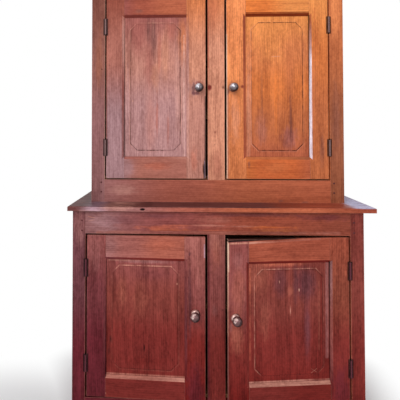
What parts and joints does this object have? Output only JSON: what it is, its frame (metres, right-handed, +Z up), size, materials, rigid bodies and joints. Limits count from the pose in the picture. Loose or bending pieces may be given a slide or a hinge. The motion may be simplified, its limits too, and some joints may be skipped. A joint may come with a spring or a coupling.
{
  "type": "step-back cupboard",
  "caption": "Two-part cupboard in stained wood: a shallow upper case with tall panelled doors, set back on the ledge of a deeper lower case with panelled doors.",
  "frame": {"origin": "on the floor, at the middle of the whole cupboard's box at rest", "axes": "+X to the right of someone facing the doors, +Y to the back, +Z up"},
  "size_m": [1.242, 0.5808, 1.9],
  "materials": {
    "stained_case": "worn red-brown varnish",
    "stained_door": "worn red-brown varnish",
    "stained_panel": "worn red-brown varnish",
    "bare_board": "unfinished aged wood",
    "peg": "dark end grain",
    "dark_iron": "dull, rusted",
    "worn_nickel": "tarnished"
  },
  "bodies": {
    "case": {"lower_left_side": "stained_case", "lower_right_side": "stained_case", "lower_bottom": "bare_board", "lower_shelf": "bare_board", "lower_back_boards": "bare_board", "lower_left_stile": "stained_case", "lower_centre_stile": "stained_case", "lower_right_stile": "stained_case", "lower_top_rail": "stained_case", "lower_bottom_rail": "stained_case", "ledge": "stained_case", "upper_left_side": "stained_case", "upper_right_side": "stained_case", "upper_bottom": "bare_board", "upper_shelves": "bare_board", "upper_top": "bare_board", "upper_back_boards": "bare_board", "upper_left_stile": "stained_case", "upper_centre_stile": "stained_case", "upper_right_stile": "stained_case", "upper_top_rail": "stained_case", "upper_bottom_rail": "stained_case", "cornice": "stained_case", "frame_pegs": "peg", "case_hinge_leaves": "dark_iron", "hinge_pins": "dark_iron"},
    "upper_left_door": {"upper_left_door_hinge_stile": "stained_door", "upper_left_door_lock_stile": "stained_door", "upper_left_door_top_rail": "stained_door", "upper_left_door_bottom_rail": "stained_door", "upper_left_door_panel": "stained_panel", "upper_left_door_hinge_leaves": "dark_iron"},
    "upper_left_knob_and_bar": {"upper_left_knob": "worn_nickel", "upper_left_latch_bar": "dark_iron"},
    "upper_right_door": {"upper_right_door_hinge_stile": "stained_door", "upper_right_door_lock_stile": "stained_door", "upper_right_door_top_rail": "stained_door", "upper_right_door_bottom_rail": "stained_door", "upper_right_door_panel": "stained_panel", "upper_right_door_hinge_leaves": "dark_iron"},
    "upper_right_knob_and_bar": {"upper_right_knob": "worn_nickel", "upper_right_latch_bar": "dark_iron"},
    "lower_left_door": {"lower_left_door_hinge_stile": "stained_door", "lower_left_door_lock_stile": "stained_door", "lower_left_door_top_rail": "stained_door", "lower_left_door_bottom_rail": "stained_door", "lower_left_door_panel": "stained_panel", "lower_left_door_hinge_leaves": "dark_iron"},
    "lower_left_knob_and_bar": {"lower_left_knob": "worn_nickel", "lower_left_latch_bar": "dark_iron"},
    "lower_right_door": {"lower_right_door_hinge_stile": "stained_door", "lower_right_door_lock_stile": "stained_door", "lower_right_door_top_rail": "stained_door", "lower_right_door_bottom_rail": "stained_door", "lower_right_door_panel": "stained_panel", "lower_right_door_hinge_leaves": "dark_iron"},
    "lower_right_knob_and_bar": {"lower_right_knob": "worn_nickel", "lower_right_latch_bar": "dark_iron"}
  },
  "joints": [
    {"name": "upper_left_door_swing", "type": "hinge", "parent": "case", "child": "upper_left_door", "pos_m": [-0.487, -0.07683, 0.996], "axis": [0, 0, -1], "range_deg": [0, 165]},
    {"name": "upper_left_knob_turn", "type": "hinge", "parent": "upper_left_door", "child": "upper_left_knob_and_bar", "pos_m": [-0.0785, -0.07363, 1.389], "axis": [0, -1, 0], "range_deg": [0, 90]},
    {"name": "upper_right_door_swing", "type": "hinge", "parent": "case", "child": "upper_right_door", "pos_m": [0.478, -0.07683, 0.996], "axis": [0, 0, 1], "range_deg": [0, 165]},
    {"name": "upper_right_knob_turn", "type": "hinge", "parent": "upper_right_door", "child": "upper_right_knob_and_bar", "pos_m": [0.0695, -0.07363, 1.389], "axis": [0, 1, 0], "range_deg": [0, 90]},
    {"name": "lower_left_door_swing", "type": "hinge", "parent": "case", "child": "lower_left_door", "pos_m": [-0.547, -0.18283, 0.12], "axis": [0, 0, -1], "range_deg": [-3.1, 161.9]},
    {"name": "lower_left_knob_turn", "type": "hinge", "parent": "lower_left_door", "child": "lower_left_knob_and_bar", "pos_m": [-0.09848, -0.20392, 0.469], "axis": [-0.0541, -0.9985, 0], "range_deg": [0, 90]},
    {"name": "lower_right_door_swing", "type": "hinge", "parent": "case", "child": "lower_right_door", "pos_m": [0.521, -0.18283, 0.12], "axis": [0, 0, 1], "range_deg": [-7, 158]},
    {"name": "lower_right_knob_turn", "type": "hinge", "parent": "lower_right_door", "child": "lower_right_knob_and_bar", "pos_m": [0.05659, -0.23663, 0.469], "axis": [-0.1219, 0.9925, 0], "range_deg": [0, 90]}
  ]
}
